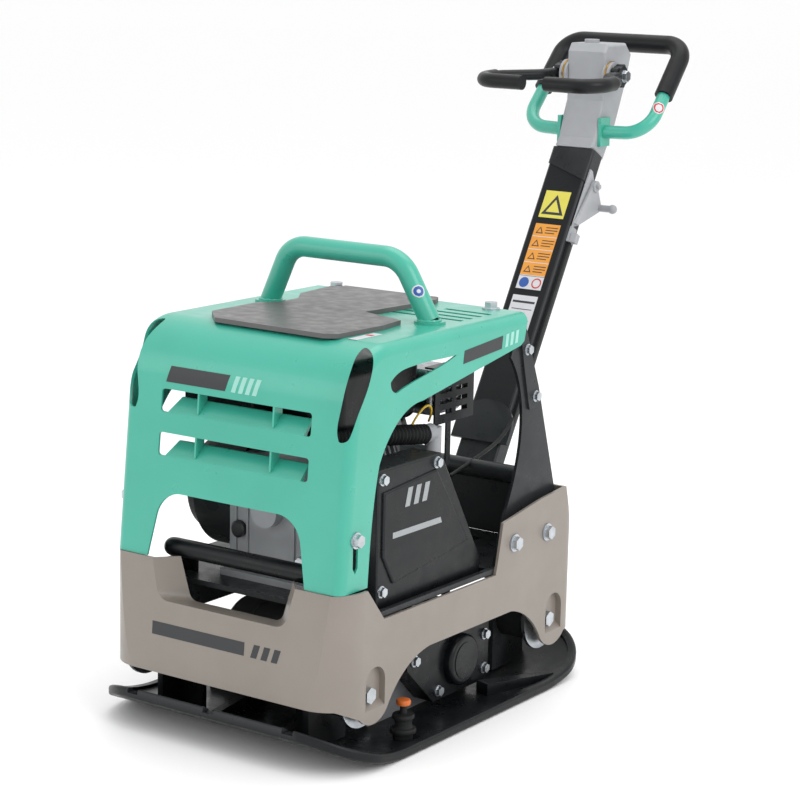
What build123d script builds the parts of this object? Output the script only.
"""Reversible plate compactor: base plate with a two-shaft exciter, sprung engine deck and tilting handle.

Millimetres. +X is the belt side, +Y the operator's end, +Z up. The origin is the middle of the flat
sole, on the ground.
"""
from build123d import *
import math
import os

# Base plate
PLATE_WIDTH = 500
PLATE_LENGTH = 710
LIP_HEIGHT = 50
CURL_RADIUS = 300
PLATE_CORNER = 100
PLATE_THICK = 10
RIM_WIDTH = 14
RIM_HEIGHT = 5
NOTCH_SPACING = 147
NOTCH_WIDTH = 20
# Exciter: two geared shafts along X
DRIVE_Y = 44
SHAFT_Z = 78
GEAR_TEETH = 22
GEAR_MODULE = 5.0
SHAFT_GAP = GEAR_TEETH * GEAR_MODULE
DRIVEN_Y = DRIVE_Y - SHAFT_GAP
EXCITER_SHAFT_R = 20
RUN_CLEAR = 0.05
# Rubber mounts
MOUNT_PLACES = (-254, 240)
MOUNT_Z = 105
MOUNT_R = 40
DISC_R = 51
# Lower frame
FRAME_HALF = 222
FRAME_FRONT = 335
FRAME_REAR = 311
FRAME_TAIL = ((298, 30), (300, 84), (310, 150), (311, 205), (296, 256), (279, 318), (273, 340))
FRAME_WALL = 4.5
FRAME_CORNER = 60
FRAME_REAR_CORNER = 26
LEAN = math.tan(math.radians(4))
FRAME_FOOT = 60
SEAM_Z = 265
DECK_Z = 216
DECK_THICK = 8
# Hood
HOOD_HALF = 212
HOOD_TOP = 615
HOOD_WALL = 3.2
HOOD_BEND = 88
HOOD_REAR = 180
HOOD_LEAN = 5.6
HOOD_FOOT_Y = -322.5
HOOD_CORNER = 17
LOUVRE_HALF = 139.5
LOUVRES = ((518.5, 484), (453.5, 419))
# Engine and belt
CRANK_Y = -118
CRANK_Z = 332
CRANK_R = 12.5
CLUTCH_PITCH_R = 50
PULLEY_PITCH_R = 40
BELT_X = 161
# Rear uprights and handle
UPRIGHT_X = 200
PIVOT_Y = 347
PIVOT_Z = 288
HANDLE_LEAN = 29.9
COLUMN_HALF = 40
COLUMN_DEPTH = 34
COLUMN_FOOT = -60
COLUMN_TOP = 576
LEVER_Y = 685
LEVER_Z = 950
THROTTLE_Y = 630
THROTTLE_Z = 761
LOOP_TUBE_R = 11.5
LOOP_GRIP_R = 16.5


def block(x0, x1, y0, y1, z0, z1):
    """Box between two corners."""
    return Pos((x0 + x1) / 2, (y0 + y1) / 2, (z0 + z1) / 2) * Box(x1 - x0, y1 - y0, z1 - z0)


def rod(start, end, radius, bore=0):
    """Round bar, or tube with a bore, between two points."""
    axis = Vector(end) - Vector(start)
    plane = Plane(origin=start, z_dir=axis)
    ring = Circle(radius) - Circle(bore) if bore else Circle(radius)
    return extrude(plane * ring, axis.length)


def rod_x(x0, x1, y, z, radius, bore=0):
    return rod((x0, y, z), (x1, y, z), radius, bore)


def side_plate(points, x0, x1):
    """Plate with an outline in Y and Z, between two X planes."""
    face = make_face(Polyline(*[(x0, y, z) for y, z in points], close=True))
    return extrude(face, x1 - x0, dir=(1, 0, 0))


def front_plate(points, y0, y1):
    """Plate with an outline in X and Z, between two Y planes."""
    face = make_face(Polyline(*[(x, y0, z) for x, z in points], close=True))
    return extrude(face, y1 - y0, dir=(0, 1, 0))


def plan_block(points, z0, z1):
    """Plate with an outline in X and Y, between two heights."""
    face = make_face(Polyline(*[(x, y, z0) for x, y in points], close=True))
    return extrude(face, z1 - z0, dir=(0, 0, 1))


def hex_bolt(head, axis, across, height, thread=0, shank=0, washer=0, washer_thick=2.5):
    """Hex head standing on its seat, with its shank and washer; axis points out of the seat."""
    plane = Plane(origin=head, z_dir=axis)
    solid = extrude(plane * RegularPolygon(across / math.sqrt(3), 6), height + washer_thick)
    if washer:
        solid += extrude(plane * Circle(washer), washer_thick)
    if shank:
        solid += extrude(plane * Circle(thread), -shank)
    return solid


def tube(points, radii, radius, bore=0):
    """Tube along a polyline with rounded corners."""
    path = FilletPolyline(*points, radius=radii)
    start = Vector(*points[0])
    plane = Plane(origin=start, z_dir=Vector(*points[1]) - start)
    ring = Circle(radius) - Circle(bore) if bore else Circle(radius)
    return sweep(plane * ring, path=path)


def group(*solids):
    return Compound(children=[s for item in solids for s in item.solids()])


def save(name, shape):
    os.makedirs("parts", exist_ok=True)
    export_step(shape, "parts/" + name + ".step")


# ---------------------------------------------------------------- base plate and exciter
def curl_slab(low, high):
    """Slab that follows the sole, flat in the middle and curled up at both ends."""
    outer = CURL_RADIUS - low
    inner = CURL_RADIUS - high
    sweep_angle = math.acos(1 - LIP_HEIGHT / CURL_RADIUS)
    flat = PLATE_LENGTH / 2 - CURL_RADIUS * math.sin(sweep_angle)

    def point(side, radius, angle):
        return (0, side * (flat + radius * math.sin(angle)), CURL_RADIUS - radius * math.cos(angle))

    def arc(side, radius, angle):
        mid = point(side, radius, angle / 2)
        return ThreePointArc(point(side, radius, 0), mid, point(side, radius, angle))

    reach = sweep_angle * 1.15
    edges = [
        arc(-1, outer, reach),
        Line(point(-1, outer, 0), point(1, outer, 0)),
        arc(1, outer, reach),
        Line(point(1, outer, reach), point(1, inner, reach)),
        arc(1, inner, reach),
        Line(point(1, inner, 0), point(-1, inner, 0)),
        arc(-1, inner, reach),
        Line(point(-1, inner, reach), point(-1, outer, reach)),
    ]
    face = make_face(Curve() + edges)
    return extrude(face, PLATE_WIDTH / 2 + 10, dir=(1, 0, 0), both=True)


def plate_outline(inset):
    width = PLATE_WIDTH - 2 * inset
    length = PLATE_LENGTH - 2 * inset
    return extrude(Pos(0, 0, -5) * RectangleRounded(width, length, PLATE_CORNER - inset), 150)


def base_plate():
    plate = curl_slab(0, PLATE_THICK + RIM_HEIGHT) & plate_outline(0)
    plate = fillet(plate.edges(), 4.5)
    plate -= curl_slab(PLATE_THICK, PLATE_THICK + 80) & plate_outline(RIM_WIDTH)
    for x in (-NOTCH_SPACING, 0, NOTCH_SPACING):
        half = NOTCH_WIDTH / 2
        front = -PLATE_LENGTH / 2
        plate -= block(x - half, x + half, front - 1, front + RIM_WIDTH + 4, 57, 90)
    for side in (-1, 1):
        plate += rear_rib(side)
    front_rib = [(-150, 9), (-150, 36), (-262, 24), (-268, 10)]
    for x in (-60, 60):
        plate += side_plate(front_rib, x - 7, x + 7)
    return plate + mount_brackets()


def rear_rib(side):
    """Wedge rib that spreads from the exciter towards a rear corner."""
    foot = [(side * 178, 96), (side * 204, 88), (side * 238, 232), (side * 228, 242)]
    wedge = plan_block(foot, 9.5, 33)
    slope = side_plate([(60, 32), (60, 60), (300, 60), (300, 14)], -260, 260)
    return wedge - slope


def mount_brackets():
    """Upright plates welded to the base that hold the inner ends of the rubber mounts."""
    solids = []
    for y in MOUNT_PLACES:
        outline = [(y - 46, 14), (y + 46, 14), (y + 46, 120), (y + 30, 150), (y - 30, 150), (y - 46, 120)]
        for x in (-1, 1):
            a, b = sorted((x * 134, x * 144))
            plate = side_plate(outline, a, b) - curl_slab(-20, PLATE_THICK)
            c, d = sorted((x * 90, x * 134))
            web = block(c, d, y - 5, y + 5, 10, 90) - curl_slab(-20, PLATE_THICK)
            solids.append(plate + web - rod_x(x * 120, x * 160, y, MOUNT_Z, 8))
    return solids[0] + solids[1] + solids[2] + solids[3]


def exciter_housing():
    outer_r = 66
    shell = rod_x(-158, 140, DRIVE_Y, SHAFT_Z, outer_r) + rod_x(-158, 140, DRIVEN_Y, SHAFT_Z, outer_r)
    shell += block(-158, 140, DRIVEN_Y, DRIVE_Y, SHAFT_Z - outer_r, SHAFT_Z + outer_r)
    shell += block(-168, 140, DRIVEN_Y - 80, DRIVE_Y + 80, PLATE_THICK, 28)
    for y in (DRIVE_Y, DRIVEN_Y):
        shell -= rod_x(-150, -112, y, SHAFT_Z, 61)
        shell -= rod_x(-113, 132, y, SHAFT_Z, 50)
        shell -= rod_x(-156, -149, y, SHAFT_Z, 45)
    shell -= block(-150, -112, DRIVEN_Y + 5, DRIVE_Y - 5, SHAFT_Z - 30, SHAFT_Z + 30)
    shell -= rod_x(131, 141, DRIVE_Y, SHAFT_Z, 26)
    for x in (-120, -40, 40, 110):
        rib = rod_x(x, x + 6, DRIVE_Y, SHAFT_Z, outer_r + 4) + rod_x(x, x + 6, DRIVEN_Y, SHAFT_Z, outer_r + 4)
        rib -= block(x - 1, x + 7, -300, 300, -50, PLATE_THICK)
        rib -= rod_x(x - 1, x + 7, DRIVE_Y, SHAFT_Z, outer_r - 1)
        rib -= rod_x(x - 1, x + 7, DRIVEN_Y, SHAFT_Z, outer_r - 1)
        rib -= block(x - 1, x + 7, DRIVEN_Y, DRIVE_Y, 20, 140)
        shell += rib
    return shell


def exciter_bolts():
    """M16 bolts through the exciter's feet and M8 bolts of the belt case."""
    bolts = []
    for x in (-130, -60, 0, 60, 128):
        for y in (DRIVEN_Y - 68, DRIVE_Y + 68):
            bolts.append(hex_bolt((x, y, 28), (0, 0, 1), 16, 9))
    for y, z in ((117, 101), (117, 45), (-78, 104), (-12, 40)):
        bolts.append(hex_bolt((176, y, z), (1, 0, 0), 13, 6, washer=9, washer_thick=2))
    return group(*bolts)


def bearing_set(y):
    """Roller bearings of one shaft, as plain rings."""
    rings = []
    for x0, x1, outer in ((-156, -150.2, 45), (112, 131, 50)):
        rings.append(rod_x(x0, x1, y, SHAFT_Z, outer, EXCITER_SHAFT_R + RUN_CLEAR))
    return rings


def gear(y, phase):
    """Involute spur gear on a shaft along X."""
    pitch_r = GEAR_TEETH * GEAR_MODULE / 2
    base_r = pitch_r * math.cos(math.radians(20))
    tip_r = pitch_r + 0.85 * GEAR_MODULE
    root_r = pitch_r - 1.2 * GEAR_MODULE
    half_tooth = math.radians(90 / GEAR_TEETH) * 0.86
    pitch_inv = math.tan(math.radians(20)) - math.radians(20)

    def flank(radius):
        turn = math.acos(min(1, base_r / radius))
        return half_tooth + pitch_inv - (math.tan(turn) - turn)

    outline = []
    radii = [max(base_r, root_r), pitch_r - 1, pitch_r + 1.5, tip_r]
    for k in range(GEAR_TEETH):
        middle = math.radians(phase + 360 / GEAR_TEETH * k)
        angles = [(root_r, -flank(radii[0]))] + [(r, -flank(r)) for r in radii]
        angles += [(r, flank(r)) for r in reversed(radii)] + [(root_r, flank(radii[0]))]
        for radius, angle in angles:
            turn = middle + angle
            outline.append((y + radius * math.cos(turn), SHAFT_Z + radius * math.sin(turn)))
    return side_plate(outline, -142, -120) - rod_x(-150, -110, y, SHAFT_Z, EXCITER_SHAFT_R)


def eccentric(y):
    """Half-round weight keyed to its shaft."""
    weight = rod_x(-100, 98, y, SHAFT_Z, 45)
    weight -= block(-101, 99, y - 50, y + 50, SHAFT_Z, SHAFT_Z + 60)
    weight += rod_x(-100, 98, y, SHAFT_Z, 28)
    return weight - rod_x(-101, 99, y, SHAFT_Z, EXCITER_SHAFT_R)


def drive_shaft():
    return rod_x(-155, 130, DRIVE_Y, SHAFT_Z, EXCITER_SHAFT_R) + rod_x(130, 176, DRIVE_Y, SHAFT_Z, 14)


def grooved_pulley(y, z, pitch_r, bore):
    """V-belt pulley with its hub, centred on the belt's plane."""
    wheel = rod_x(BELT_X - 12, BELT_X + 12, y, z, pitch_r + 8, bore)
    groove = rod_x(BELT_X - 7, BELT_X + 7, y, z, pitch_r + 9, pitch_r - 7)
    return wheel - groove


def belt():
    """V-belt around the clutch drum and the exciter pulley."""
    loops = []
    for grow in (4, -5):
        top = Pos(CRANK_Y, CRANK_Z) * Circle(CLUTCH_PITCH_R + grow)
        low = Pos(DRIVE_Y, SHAFT_Z) * Circle(PULLEY_PITCH_R + grow)
        loops.append(make_hull(top.edges() + low.edges()))
    ring = extrude(loops[0] - loops[1], 12)
    plane = Plane(origin=(BELT_X - 6, 0, 0), x_dir=(0, 1, 0), z_dir=(1, 0, 0))
    return plane.location * ring


def lower_belt_case():
    """Case bolted to the exciter, over the exciter's pulley, open at the top for the belt."""
    outline = [(-24, 25), (118, 25), (130, 37), (130, 145), (-96, 145), (-96, 92)]
    case = side_plate(outline, 141, 176)
    cavity = [(-10, 29), (106, 29), (106, 146), (-66, 146), (-66, 84)]
    case -= side_plate(cavity, 144, 173)
    case -= rod_x(140, 145, DRIVE_Y, SHAFT_Z, 26)
    case += rod_x(175, 190, DRIVE_Y, SHAFT_Z, 41)
    case -= rod_x(172, 185, DRIVE_Y, SHAFT_Z, 35)
    edges = case.faces().sort_by(Axis.X)[-1].edges()
    case = fillet(edges, 7)
    case += rod_x(186, 191, DRIVE_Y, SHAFT_Z, 29)
    return case


def bump_stops():
    """Stop posts on the base, each with a rubber cap."""
    posts = []
    for x in (-208, 208):
        post = rod((x, -150, 9.5), (x, -150, 18), 15) + rod((x, -150, 18), (x, -150, 26), 20)
        post += rod((x, -150, 26), (x, -150, 40), 14) + rod((x, -150, 40), (x, -150, 47), 17)
        post += rod((x, -150, 47), (x, -150, 62), 5) + rod((x, -150, 61), (x, -150, 70), 11)
        posts.append(post - curl_slab(-20, PLATE_THICK))
    return group(*posts)


def base_parts():
    save("base_plate", base_plate())
    save("exciter_housing", exciter_housing())
    save("exciter_bolts", exciter_bolts())
    save("exciter_bearings", group(*bearing_set(DRIVE_Y), *bearing_set(DRIVEN_Y)))
    save("drive_shaft", drive_shaft())
    save("driven_shaft", rod_x(-155, 130, DRIVEN_Y, SHAFT_Z, EXCITER_SHAFT_R))
    save("drive_gear", gear(DRIVE_Y, 0))
    save("driven_gear", gear(DRIVEN_Y, 180 / GEAR_TEETH))
    save("drive_eccentric", eccentric(DRIVE_Y))
    save("driven_eccentric", eccentric(DRIVEN_Y))
    save("exciter_pulley", grooved_pulley(DRIVE_Y, SHAFT_Z, PULLEY_PITCH_R, 14))
    save("lower_belt_case", lower_belt_case())
    save("bump_stops", bump_stops())


# ---------------------------------------------------------------- rubber mounts
def per_mount(make):
    return group(*[make(side, y) for side in (-1, 1) for y in MOUNT_PLACES])


def mount_parts():
    def rubber(side, y):
        return rod_x(side * 144, side * 200, y, MOUNT_Z, MOUNT_R)

    def disc(side, y):
        return rod_x(side * 200, side * 206, y, MOUNT_Z, DISC_R)

    def bolt(side, y):
        return hex_bolt((side * 212, y, MOUNT_Z), (side, 0, 0), 22, 11, thread=8, shank=6, washer_thick=0)

    save("rubber_mounts", per_mount(rubber))
    save("mount_discs", per_mount(disc))
    save("mount_bolts", per_mount(bolt))
    save("belt", belt())


# ---------------------------------------------------------------- lower frame
def frame_solid(inset):
    """Solid bounded by the frame's outer faces, with its front and rear leaning inwards."""
    half = FRAME_HALF - inset
    front = FRAME_FRONT - inset
    rear = FRAME_REAR - inset
    plan = Pos(0, (rear - front) / 2) * Rectangle(2 * half, front + rear)
    plan = fillet(plan.vertices().group_by(Axis.Y)[0], FRAME_CORNER - inset)
    plan = fillet(plan.vertices().group_by(Axis.Y)[-1], FRAME_REAR_CORNER - inset)
    solid = extrude(Pos(0, 0, 40) * plan, 290)
    drop = 100 - 30
    rise = 340 - 100
    lean = [(-front - drop * LEAN, 30)]
    lean += [(y - inset, z) for y, z in FRAME_TAIL]
    lean.append((-front + rise * LEAN, 340))
    return solid & side_plate(lean, -half - 1, half + 1)


def frame_side_outline():
    """Side of the frame in Y and Z: two feet joined by a beam, with a tall rear end."""
    line = [(-400, 330), (-400, 92), (-318, 92), (-280, 74)]
    foot_front = ThreePointArc((0, -280, 74), (0, -247, 60), (0, -212, 78))
    arch_front = ThreePointArc((0, -212, 78), (0, -172, 120), (0, -104, 145))
    arch_rear = ThreePointArc((0, 122, 145), (0, 178, 120), (0, 212, 80))
    foot_rear = ThreePointArc((0, 212, 80), (0, 247, 60), (0, 285, 76))
    tail = [(285, 76), (400, 100), (400, 330), (272, 318), (204, 312), (92, 294), (80, 237), (74, 214)]
    tail += [(-224, 214), (-266, SEAM_Z), (-266, 330), (-400, 330)]
    edges = [Polyline(*[(0, y, z) for y, z in line]), foot_front, arch_front]
    edges += [Line((0, -104, 145), (0, 122, 145)), arch_rear, foot_rear]
    edges += [Polyline(*[(0, y, z) for y, z in tail])]
    return extrude(make_face(Curve() + edges), 260, dir=(1, 0, 0), both=True)


def scoop(y_front, depth, grow):
    """Tapered mouth through the front wall, wider outside than inside, with rounded lower corners."""
    def section(y, top, low, bottom, radius):
        pts = [(-top - grow, 330), (-top - grow, 270), (-low - grow, bottom - grow),
               (low + grow, bottom - grow), (top + grow, 270), (top + grow, 330)]
        face = make_face(Polyline(*[(x, y, z) for x, z in pts], close=True))
        return fillet(face.vertices().sort_by(Axis.Z)[:2], radius)

    return loft([section(y_front, 151, 131, 205, 28), section(y_front + depth, 106, 84, 200, 16)])


def mount_pocket(side, y, grow, deep):
    """Arched pocket beside a mount's bolt, fading out towards the foot."""
    x0, x1 = sorted((side * (FRAME_HALF - deep), side * (FRAME_HALF + 5)))
    middle = y + 11
    wide = 24 + grow
    low = MOUNT_Z - 26 - grow
    pocket = rod_x(x0, x1, middle, MOUNT_Z + 17, wide)
    pocket += block(x0, x1, middle - wide, middle + wide, low, MOUNT_Z + 17)
    fade = [(side * (FRAME_HALF - deep - 1), low - 1), (side * (FRAME_HALF + 6), low - 1),
            (side * (FRAME_HALF - deep - 1), low + 14)]
    return pocket - front_plate(fade, y - 60, y + 60)


def lower_frame():
    shell = frame_solid(0) - frame_solid(FRAME_WALL)
    mouth = scoop(-FRAME_FRONT - 6, 52, 0)
    skin = (scoop(-FRAME_FRONT - 6, 50, 3.5) & frame_solid(0)) - block(-300, 300, -400, 0, 268, 400)
    shell = shell + skin - mouth
    for side in (-1, 1):
        for y in MOUNT_PLACES:
            inner = frame_solid(1)
            shell += mount_pocket(side, y, 4, 16) & inner
            shell -= mount_pocket(side, y, 0, 10)
    shell = shell & frame_side_outline()
    shell -= front_plate([(-150, 60), (150, 60), (150, 130), (-150, 130)], 250, 400)
    shell -= front_plate([(-120, 160), (120, 160), (120, 250), (-120, 250)], 250, 400)
    shell -= block(-300, 300, -400, -200, SEAM_Z, 400)
    shell -= block(-60, 60, 262, 330, 236, 400)
    for side in (-1, 1):
        for y in MOUNT_PLACES:
            shell -= rod_x(side * 200, side * 230, y, MOUNT_Z, 8.2)
        for y in MOUNT_PLACES:
            shell -= block(*sorted((side * 190, side * 206)), y - 60, y + 60, 40, 160)
    return shell


def engine_base():
    """Plate across the frame that carries the engine, cut out for the belt."""
    top = DECK_Z + DECK_THICK
    inside = frame_solid(FRAME_WALL)
    plate = block(-230, 230, -262, 262, DECK_Z, top) & inside
    for x0, x1 in ((-120, -112), (112, 120)):
        plate += block(x0, x1, -262, 262, DECK_Z - 40, DECK_Z)
    plate -= block(136, 208, -216.4, 66.6, DECK_Z - 1, top + 1)
    plate -= block(-100, 100, 110, 220, DECK_Z - 1, top + 1)
    return plate


def frame_bolts():
    places = [(125, 256), (222, 254)]
    bolts = [hex_bolt((side * FRAME_HALF, y, z), (side, 0, 0), 19, 8, washer=14)
             for side in (-1, 1) for y, z in places]
    bolts += [hex_bolt((side * 208.6, y, z), (side, 0, 0), 13, 6, washer=9, washer_thick=2)
              for side in (-1, 1) for y, z in ((167, 556), (195, 478))]
    return group(*bolts)


def guard_bar():
    """Round bar across the front with its ends bent back to two tabs."""
    pts = [(-146, -225, 250), (-146, -275, 273), (146, -275, 273), (146, -225, 250)]
    bar = tube(pts, 22, 14)
    tabs = [block(*sorted((s * 130, s * 162)), -229, -221, 224, 262) for s in (-1, 1)]
    return bar + tabs[0] + tabs[1]


# ---------------------------------------------------------------- hood
def hood_solid(inset):
    """Solid bounded by the hood's faces: sloping front, large front bend, flat top."""
    half = HOOD_HALF - inset
    top = HOOD_TOP - inset
    back = 240
    lean = math.radians(HOOD_LEAN)
    foot = (HOOD_FOOT_Y + inset / math.cos(lean), 240)
    corner_y = foot[0] + (top - foot[1]) * math.tan(lean)
    corner = (corner_y, top)
    bend = HOOD_BEND - inset
    trim = bend * math.tan((math.pi / 2 - lean) / 2)
    start = (corner[0] - trim * math.sin(lean), corner[1] - trim * math.cos(lean))
    end = (corner[0] + trim, corner[1])
    centre = (end[0], end[1] - bend)
    angle = math.pi - (math.pi / 2 - lean) / 2
    mid = (centre[0] + bend * math.cos(angle), centre[1] + bend * math.sin(angle))
    edges = [
        Line((0, *foot), (0, *start)),
        ThreePointArc((0, *start), (0, *mid), (0, *end)),
        Polyline((0, *end), (0, back, top), (0, back, 240), (0, *foot)),
    ]
    solid = extrude(make_face(Curve() + edges), half, dir=(1, 0, 0), both=True)
    corners = [e for e in solid.edges() if abs(abs(e.center().X) - half) < 0.01]
    front = [e for e in corners if e.center().Y < end[0] and e.center().Z > 245]
    upper = [e for e in corners if e.center().Y > end[0] and e.center().Z > top - 1]
    return fillet(front + upper, HOOD_CORNER - inset)


def hood_arch():
    """Space under the hood's front edge, between its two legs."""
    pts = [(-158, 215), (-128, 366), (128, 366), (158, 215)]
    face = make_face(Polyline(*[(x, -380, z) for x, z in pts], close=True))
    arch = extrude(face, 150, dir=(0, 1, 0))
    corners = [e for e in arch.edges().filter_by(Axis.Y) if e.center().Z > 300]
    return fillet(corners, 46)


def hood_side_window():
    """Everything behind the front leg and under the hood's long side strip."""
    wire = [
        Spline((0, -256, 240), (0, -251, 307), (0, -238, 408), (0, -230, 442)),
        Spline((0, -230, 442), (0, -202, 483), (0, -170, 508), (0, -124, 520)),
        Polyline((0, -124, 520), (0, 142, 566), (0, 152, 572), (0, 170, 640), (0, 300, 640),
                 (0, 300, 230), (0, -256, 230), (0, -256, 240)),
    ]
    return extrude(make_face(Curve() + wire), 230, dir=(1, 0, 0), both=True)


def louvre(z_top, z_low):
    """Long slot through the front with rounded corners."""
    slot = block(-LOUVRE_HALF, LOUVRE_HALF, -360, -240, z_low, z_top)
    return fillet(slot.edges().filter_by(Axis.Y), 5)


def front_face_y(z):
    """Where the hood's front face stands at a height."""
    return HOOD_FOOT_Y + (z - 240) * math.tan(math.radians(HOOD_LEAN))


def louvre_flap(z_top, z_low):
    """Sheet that slopes inwards and up from a slot's lower edge, with its two gusset ribs."""
    wall = HOOD_WALL
    low_y = front_face_y(z_low)
    high_z = z_top - 13
    high_y = low_y + 21
    sheet = [(low_y + 0.3, z_low - 4), (low_y + 0.5, z_low + 1.5), (high_y, high_z), (high_y + wall, high_z),
             (low_y + wall + 2, z_low - 4)]
    flap = side_plate(sheet, -140, 140)
    flap &= front_plate([(-128, z_low - 4), (127, z_low - 4), (127, z_top), (-109, z_top)], -360, -240)
    rib_top_y = front_face_y(z_top) + 0.6
    rib = [(low_y + 1.6, z_low + 4), (high_y + 1, high_z - 2), (high_y + 1, z_top + 2), (rib_top_y, z_top + 2)]
    for x in (-70, 70):
        flap += side_plate(rib, x - 1.6, x + 1.6)
    return flap


def corner_window(side):
    """Teardrop opening across the hood's top front corner."""
    plane = Plane(origin=(205, -262, 545), x_dir=(0.793, 0.61, 0), z_dir=(0.6, -0.78, 0.18))
    pts = [(-35, -62), (-37, -50), (-33, -21), (-26, 13), (-17, 43), (-8, 62), (3, 70), (11, 62), (13, 49),
           (10.5, 31), (4, 7), (-8, -25), (-18, -54), (-25, -63)]
    cut = extrude(plane * make_face(Spline(*pts, periodic=True)), 45, both=True)
    return cut if side > 0 else mirror(cut, about=Plane.YZ)


def tail_slot():
    """Comet-shaped slot along each side."""
    wire = [
        Spline((0, -36, 576), (0, -115, 576.5), (0, -156, 575), (0, -187, 570), (0, -206, 559)),
        Spline((0, -206, 559), (0, -203, 548), (0, -190, 541)),
        Spline((0, -190, 541), (0, -155, 550), (0, -96, 561), (0, -36, 576)),
    ]
    return extrude(make_face(Curve() + wire), 230, dir=(1, 0, 0), both=True)


def top_vents():
    """Graded slots in the top, behind the bar's right foot."""
    cuts = []
    for k in range(4):
        length = 150 - 22 * k
        cuts.append(block(178 - length, 178, 22 + 26 * k, 32 + 26 * k, HOOD_TOP - 20, HOOD_TOP + 20))
    return cuts


def hood():
    shell = hood_solid(0) - hood_solid(HOOD_WALL)
    shell -= block(-260, 260, HOOD_REAR + 8, 300, 200, 700)
    shell -= block(-260, 260, -400, 260, 200, SEAM_Z + 0.5)
    shell -= hood_side_window()
    shell -= hood_arch()
    for z_top, z_low in LOUVRES:
        shell -= louvre(z_top, z_low)
        shell += louvre_flap(z_top, z_low)
    for side in (-1, 1):
        shell -= corner_window(side)
        slot = [(-291, 347), (-279, 347), (-279, 301), (-285, 292), (-291, 301)]
        shell -= side_plate(slot, *sorted((side * 205, side * 220)))
    shell -= tail_slot()
    for cut in top_vents():
        shell -= cut
    for x in (-150, 150):
        shell -= Pos(x, 150, HOOD_TOP) * Cylinder(6.5, 30)
    return shell


def hood_parts():
    save("hood", hood())
    save("lifting_bar", lifting_bar())
    save("hood_mat", hood_mat())
    save("hood_bolts", hood_bolts())


def lifting_bar():
    """Tube hoop over the hood's top, used to lift the machine."""
    pts = [(-152, -22, HOOD_TOP + 3), (-104, -32, 710), (104, -32, 710), (152, -22, HOOD_TOP + 3)]
    bar = tube(pts, 48, 16, 12)
    for x in (-152, 152):
        bar += Pos(x, -22, HOOD_TOP + 2) * (Cylinder(24, 4) - Cylinder(12, 5))
    return bar - block(-200, 200, -80, 40, HOOD_TOP - 40, HOOD_TOP)


def hood_mat():
    """Rubber mat on the top, cut round the bar's feet."""
    pts = [(-92, -232), (112, -236), (130, -224), (136, -120), (128, -64), (44, -38), (58, 132), (46, 158),
           (-140, 154), (-150, 140), (-140, 40), (-112, -2), (-112, -50), (-134, -72), (-134, -188)]
    face = make_face(Polyline(*[(x, y, HOOD_TOP + 0.2) for x, y in pts], close=True))
    corners = [v for v in face.vertices() if v.Y < -180 or v.Y > 120]
    mat = extrude(fillet(corners, 7), 7, dir=(0, 0, 1))
    return mat - rod((-150, 150, HOOD_TOP), (-150, 150, HOOD_TOP + 20), 15.5)


def hood_bolts():
    """Two M12 bolts on the top at the rear and one on each side of the front legs."""
    bolts = []
    for side in (-1, 1):
        bolts.append(hex_bolt((side * 150, 150, HOOD_TOP), (0, 0, 1), 19, 9, thread=6, shank=20, washer=14))
        bolts.append(hex_bolt((side * HOOD_HALF, -285, 342), (side, 0, 0), 17, 8, thread=4.4, shank=6,
                              washer=12))
    return group(*bolts)


# ---------------------------------------------------------------- rear uprights
def rear_upright(side):
    wire = [
        Polyline((0, 96, 224), (0, 120, 296)),
        Spline((0, 120, 296), (0, 146, 350), (0, 164, 440), (0, 154, 500), (0, 126, 548)),
        Polyline((0, 126, 548), (0, 144, 597), (0, 166, 595), (0, 220, 463), (0, 268, 318), (0, 281, 262), (0, 281, 224),
                 (0, 96, 224)),
    ]
    plate = extrude(make_face(Curve() + wire), 5, dir=(1, 0, 0))
    return Pos(200 if side > 0 else -205, 0, 0) * plate


def upright_bracket(side):
    """Outer strap that clamps the hood's tail to the upright."""
    pts = [(150, 572), (164, 588), (205, 492), (212, 470), (205, 458), (180, 458), (176, 470), (160, 530)]
    x0, x1 = sorted((side * 205, side * 208.6))
    return side_plate(pts, x0, x1)


def handle_bracket():
    """Tube and plate welded between the uprights, with the two ears that carry the handle's pin."""
    bracket = rod_x(-199.8, 199.8, 250, 330, 15)
    bracket += side_plate([(262, 224.2), (268, 224.2), (268, 320), (262, 320)], -199.8, 199.8)
    for side in (-1, 1):
        pts = [(267, 250), (300, 240), (360, 272), (364, 290), (352, 306), (340, 308), (267, 318)]
        bracket += side_plate(pts, *sorted((side * 44, side * 52)))
    return bracket - rod_x(-60, 60, PIVOT_Y, PIVOT_Z, 8)


def handle_stop():
    """Rubber block that the column's foot rests on."""
    outline = [(268, 250), (306, 250), (319.8, 274.9), (323, 280.4), (300, 290), (268, 296)]
    return side_plate(outline, -38, 38)


# ---------------------------------------------------------------- engine
def crankcase():
    case = block(-78, 92, CRANK_Y - 92, CRANK_Y + 80, DECK_Z + DECK_THICK + 8, CRANK_Z + 78)
    case += block(-90, 100, CRANK_Y - 100, CRANK_Y + 96, DECK_Z + DECK_THICK, DECK_Z + DECK_THICK + 10)
    long_edges = [e for e in case.edges().filter_by(Axis.X) if e.center().Z > CRANK_Z]
    case = fillet(long_edges, 30)
    case += rod_x(92, 118, CRANK_Y, CRANK_Z, 62)
    case += rod((0, CRANK_Y - 110, CRANK_Z + 5), (0, CRANK_Y - 90, CRANK_Z + 5), 24)
    case -= rod_x(-79, 119, CRANK_Y, CRANK_Z, CRANK_R + RUN_CLEAR)
    case -= rod_x(-60, 80, CRANK_Y, CRANK_Z, 58)
    return case


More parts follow.
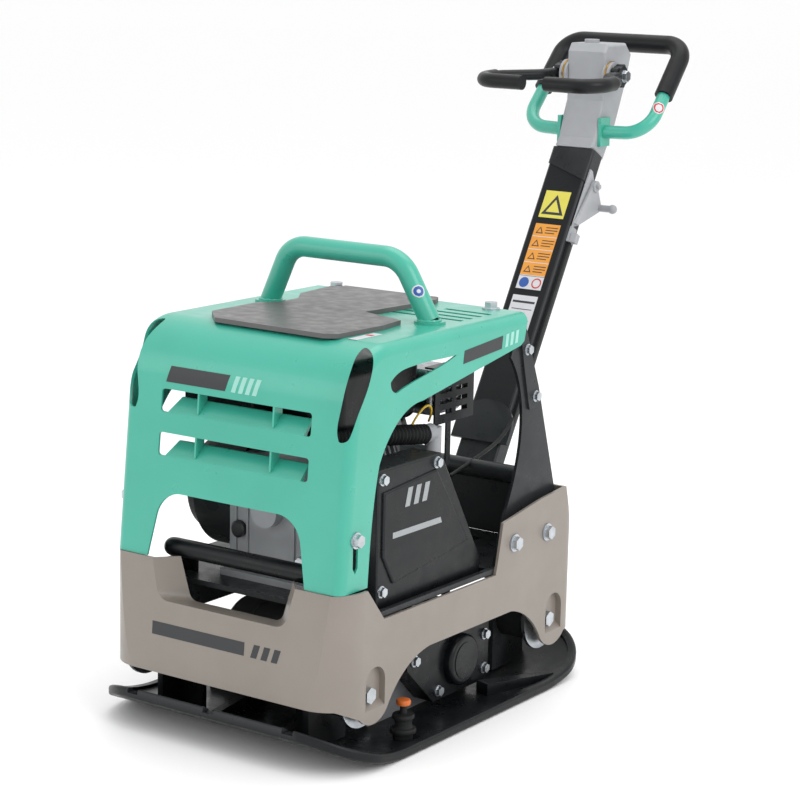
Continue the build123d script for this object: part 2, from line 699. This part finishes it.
def cylinder():
    """Finned cylinder leaning up and back from the crankcase."""
    tilt = math.radians(25)
    axis = Vector(0, math.cos(tilt), math.sin(tilt))
    start = Vector(0, CRANK_Y + 82, CRANK_Z + 22)
    plane = Plane(origin=start, x_dir=(1, 0, 0), z_dir=axis)
    local = plane.location
    body = local * (Pos(0, 0, 40) * Box(76, 76, 80))
    for k in range(6):
        body += local * (Pos(0, 0, 12 + 12 * k) * Box(124, 112, 4))
    head = local * (Pos(0, 0, 93) * Box(120, 104, 26))
    cover = local * (Pos(0, 0, 119) * fillet(Box(96, 84, 26).edges().filter_by(Axis.Z), 10))
    keep = block(-200, 200, CRANK_Y + 80.2, 400, 226, 700)
    return (body & keep), head, cover


def recoil_cover():
    """Fan housing and starter cap at the far end of the crankshaft."""
    drum = rod_x(-150, -78.2, CRANK_Y, CRANK_Z + 6, 92)
    drum -= rod_x(-146, -70, CRANK_Y, CRANK_Z + 6, 86)
    drum += rod_x(-178, -150, CRANK_Y, CRANK_Z + 6, 74)
    drum -= rod_x(-174, -145, CRANK_Y, CRANK_Z + 6, 70)
    for k in range(10):
        angle = math.radians(36 * k)
        y = CRANK_Y + 42 * math.cos(angle)
        z = CRANK_Z + 6 + 42 * math.sin(angle)
        drum -= rod_x(-180, -172, y, z, 9)
    drum -= rod((-120, CRANK_Y - 60, CRANK_Z + 6), (-120, CRANK_Y - 100, CRANK_Z + 6), 4)
    return drum


def crankshaft():
    return rod_x(-140, 182, CRANK_Y, CRANK_Z, CRANK_R)


def flywheel():
    wheel = rod_x(-135, -112, CRANK_Y, CRANK_Z, 76, CRANK_R)
    for k in range(12):
        blade = block(-112, -92, CRANK_Y + 40, CRANK_Y + 74, CRANK_Z - 1.5, CRANK_Z + 1.5)
        turn = Location((0, CRANK_Y, CRANK_Z), (1, 0, 0), 30 * k) * Location((0, -CRANK_Y, -CRANK_Z))
        wheel += turn * blade
    return wheel


def clutch_drum():
    drum = grooved_pulley(CRANK_Y, CRANK_Z, CLUTCH_PITCH_R, CRANK_R)
    return drum + rod_x(BELT_X - 34, BELT_X - 12, CRANK_Y, CRANK_Z, 48, CRANK_R)


def fuel_tank():
    tank = block(-120, 96, -176, 44, 452, 560)
    tank = fillet(tank.edges(), 22)
    tank += rod((-30, -60, 558), (-30, -60, 572), 26)
    inner = fillet(block(-117, 93, -173, 41, 455, 557).edges(), 19)
    tank = tank - inner - rod((-30, -60, 550), (-30, -60, 575), 21)
    return tank


def fuel_cap():
    return rod((-30, -60, 572.3), (-30, -60, 586), 30) + rod((-30, -60, 560), (-30, -60, 573), 20.5)


def engine_parts():
    save("crankcase", crankcase())
    body, head, cover = cylinder()
    save("cylinder", body)
    save("cylinder_head", head)
    save("rocker_cover", cover)
    save("recoil_cover", recoil_cover())
    save("crankshaft", crankshaft())
    save("flywheel", flywheel())
    save("clutch_drum", clutch_drum())
    save("fuel_tank", fuel_tank())
    save("fuel_cap", fuel_cap())
    save("muffler", muffler())
    save("muffler_guard", muffler_guard())
    save("air_cleaner", air_cleaner())
    save("intake_hose", intake_hose())
    save("carburettor", carburettor())
    save("belt_cover", belt_cover())
    save("belt_cover_bolts", belt_cover_bolts())
    save("engine_switch", engine_switch())


def muffler():
    return fillet(block(8, 112, 52, 140, 452, 524).edges(), 14)


def muffler_guard():
    guard = block(118, 121, 44, 152, 442, 532)
    for row in range(2):
        for k in range(4):
            z = 456 + 17 * k
            y = 58 + 44 * row
            guard -= block(117, 122, y, y + 32, z, z + 7)
    lip = block(100, 121, 44, 152, 529, 532) + block(100, 121, 149, 152, 442, 532)
    return guard + lip + block(114.8, 117.8, 82, 94, 372, 470)


def air_cleaner():
    return fillet(block(-150, -20, -238, -184, 440, 540).edges(), 12)


def intake_hose():
    """Corrugated hose from the carburettor to the air cleaner."""
    return tube([(116, 23.2, 432), (116, -205, 440), (40, -211, 470), (-19.8, -211, 470)], [40, 24], 16)


def carburettor():
    throat = rod((116, 24.2, 432), (116, 42, 432), 14)
    return throat + rod((116, 48, 386), (116, 48, 440), 13) + rod_x(60, 116, 48, 398, 10)


def engine_switch():
    return rod((-40, CRANK_Y - 104, CRANK_Z + 50), (-40, CRANK_Y - 92.3, CRANK_Z + 50), 12)


def belt_outline(inset):
    top = 428 - inset
    low = 208 + inset
    return [(-216 + inset, top), (-52 - 0.6 * inset, top), (66 - 1.2 * inset, 238), (58 - inset, 220),
            (40 - inset, low), (-214 + inset, low)]


def belt_cover():
    cover = side_plate(belt_outline(0), 146, 200)
    cover -= side_plate(belt_outline(3.5), 140, 196.5)
    cover -= side_plate([(-160, 200), (30, 200), (30, 214), (-160, 214)], 140, 190)
    face = cover.faces().sort_by(Axis.X)[-1]
    cover = fillet(face.edges(), 3)
    raised = side_plate([(-204, 394), (-68, 406), (22, 279), (-177, 253), (-204, 298)], 199.5, 204)
    return cover + fillet(raised.faces().sort_by(Axis.X)[-1].edges(), 3)


def belt_cover_bolts():
    places = [(-205, 414), (-66, 416), (-204, 246)]
    return group(*[hex_bolt((200, y, z), (1, 0, 0), 13, 6, washer=9, washer_thick=2) for y, z in places])


# ---------------------------------------------------------------- handle
COLUMN_AXIS = (0, math.sin(math.radians(HANDLE_LEAN)), math.cos(math.radians(HANDLE_LEAN)))
COLUMN_FRONT = (0, 349, 325)
COLUMN = Plane(origin=COLUMN_FRONT, x_dir=(1, 0, 0), z_dir=COLUMN_AXIS).location


def column_block(x0, x1, d0, d1, s0, s1):
    """Box in the column's own directions: across, from front to back, and along."""
    return COLUMN * block(x0, x1, d0, d1, s0, s1)


def handle_column():
    half = COLUMN_HALF
    column = Box(2 * half, COLUMN_DEPTH, COLUMN_TOP - COLUMN_FOOT)
    column = fillet(column.edges().filter_by(Axis.Z), 5)
    column -= Box(2 * half - 7, COLUMN_DEPTH - 7, COLUMN_TOP - COLUMN_FOOT + 2)
    column = COLUMN * (Pos(0, COLUMN_DEPTH / 2, (COLUMN_TOP + COLUMN_FOOT) / 2) * column)
    shield = Pos(0, 0, 62) * Box(112, 6, 74)
    shield = fillet(shield.edges().filter_by(Axis.Y).sort_by(Axis.Z)[2:], 48)
    column += COLUMN * (Pos(0, -3, 0) * shield)
    return column + column_collar() - rod_x(-60, 60, PIVOT_Y, PIVOT_Z, 8.07)


def column_collar():
    """Sleeve round the column's top with a slanting lower edge in front."""
    collar = Box(2 * COLUMN_HALF + 4, COLUMN_DEPTH + 4, 62)
    collar = fillet(collar.edges().filter_by(Axis.Z), 6)
    collar -= Box(2 * COLUMN_HALF, COLUMN_DEPTH, 64)
    collar = Pos(0, COLUMN_DEPTH / 2, COLUMN_TOP - 31) * collar
    collar -= front_plate([(-60, 500), (60, 500), (43, 516), (-60, 551)], -20, 60)
    return COLUMN * collar


def pump_head():
    """Casting on top of the column that holds the travel lever's shaft and the hand pump."""
    foot = column_block(-36, 36, 4, 30, COLUMN_TOP - 30, COLUMN_TOP + 20)
    pts = [(633, 827), (646, 843), (655, 875), (668, 906), (667, 990), (676, 1004), (742, 1004), (762, 984),
           (744, 930), (714, 862), (676, 803)]
    body = side_plate(pts, -38, 38)
    body = fillet(body.edges().filter_by(Axis.X, reverse=True).filter_by(GeomType.LINE), 6)
    for side in (-1, 1):
        body += rod_x(side * 36, side * 50, LEVER_Y, LEVER_Z, 24)
    body += rod((-8, 700, 1000), (-8, 700, 1010), 13)
    body += foot
    return body - rod_x(-60, 60, LEVER_Y, LEVER_Z, 8 + RUN_CLEAR)


def loop_path():
    return [(43, 668, 853), (124, 674, 855), (120, 806, 1001), (-120, 806, 1001), (-124, 674, 855), (-43, 668, 853)]


def handle_loop():
    loop = tube(loop_path(), [46, 36, 36, 46], LOOP_TUBE_R)
    for side in (-1, 1):
        loop += block(*sorted((side * 38, side * 44)), 652, 684, 828, 878)
    return loop


def loop_grip():
    """Foam sleeve over the upper part of the loop."""
    right, top = Vector(*loop_path()[1]), Vector(*loop_path()[2])
    low = right + (top - right) * 0.42
    pts = [(low.X, low.Y, low.Z), loop_path()[2], loop_path()[3], (-low.X, low.Y, low.Z)]
    return tube(pts, 36, LOOP_GRIP_R, LOOP_TUBE_R)


def lever_arm(side):
    pts = [(side * 60.5, 678, 950), (side * 68, 628, 948), (side * 118, 572, 946), (side * 118, 498, 942),
           (side * 30, 498, 942)]
    return tube(pts, [24, 28, 40], 9.5)


def lever_grip(side):
    pts = [(side * 118, 560, 945), (side * 118, 498, 942), (side * 28, 498, 942)]
    return tube(pts, 40, 12.5, 9.5) + rod((side * 28, 498, 942), (side * 23, 498, 942), 12.5)


def travel_lever():
    lever = rod_x(-66, 66, LEVER_Y, LEVER_Z, 8)
    for side in (-1, 1):
        lever += rod_x(side * 50.5, side * 66, LEVER_Y, LEVER_Z, 17)
        lever += lever_arm(side)
        for k in range(5):
            angle = math.radians(72 * k)
            y = LEVER_Y + 15 * math.cos(angle)
            z = LEVER_Z + 15 * math.sin(angle)
            lever += rod_x(side * 51, side * 64, y, z, 6)
        lever -= rod_x(side * 66, side * 80, LEVER_Y, LEVER_Z, 12)
    return lever


def handle_parts():
    save("handle_column", handle_column())
    save("pump_head", pump_head())
    save("handle_loop", handle_loop())
    save("loop_grip", loop_grip())
    save("travel_lever", travel_lever())
    save("lever_grips", group(lever_grip(-1), lever_grip(1)))
    save("lever_end_bolts", group(*[hex_bolt((s * 66, LEVER_Y, LEVER_Z), (s, 0, 0), 17, 7, washer=11)
                                    for s in (-1, 1)]))
    save("throttle_bracket", throttle_bracket())
    save("throttle_lever", throttle_lever())
    save("throttle_cable", throttle_cable())


def throttle_bracket():
    """Die-cast bracket on the column's right side, with its pivot pin and cable socket."""
    outline = [(4, 540), (12, 540), (31, 522), (33, 500), (20, 440), (3, 430)]
    plate = COLUMN * side_plate(outline, 42.3, 45.3) + column_block(40.2, 42.3, 8, 24, 446, 500)
    pin = rod_x(45.3, 60, THROTTLE_Y, THROTTLE_Z, 4)
    socket = column_block(44, 56, 6, 18, 404, 420) + column_block(40, 44, 4, 22, 404, 432)
    return plate + pin + socket


def throttle_lever():
    hub = rod_x(46, 54, THROTTLE_Y, THROTTLE_Z, 10, 4 + RUN_CLEAR)
    arm = COLUMN * side_plate([(18, 524), (34, 520), (68, 494), (60, 484), (12, 438), (0, 436), (4, 452)], 46.5, 51)
    arm -= rod_x(40, 60, THROTTLE_Y, THROTTLE_Z, 9)
    knob = COLUMN * (rod((50, 61, 493), (74, 61, 493), 6) + Pos(76, 61, 493) * Sphere(8))
    return hub + arm + knob


def throttle_cable():
    """Cable clipped down the column's side."""
    return column_block(40, 46, 9, 15, 60, 404)


def deck_parts():
    save("lower_frame", lower_frame())
    save("engine_base", engine_base())
    save("frame_bolts", frame_bolts())
    save("guard_bar", guard_bar())
    save("rear_uprights", group(rear_upright(-1), rear_upright(1)))
    save("upright_brackets", group(upright_bracket(-1), upright_bracket(1)))
    save("handle_bracket", handle_bracket())
    save("handle_stop", handle_stop())
    save("pivot_pin", rod_x(-62, 62, PIVOT_Y, PIVOT_Z, 8))


base_parts()
mount_parts()
deck_parts()
hood_parts()
engine_parts()
handle_parts()
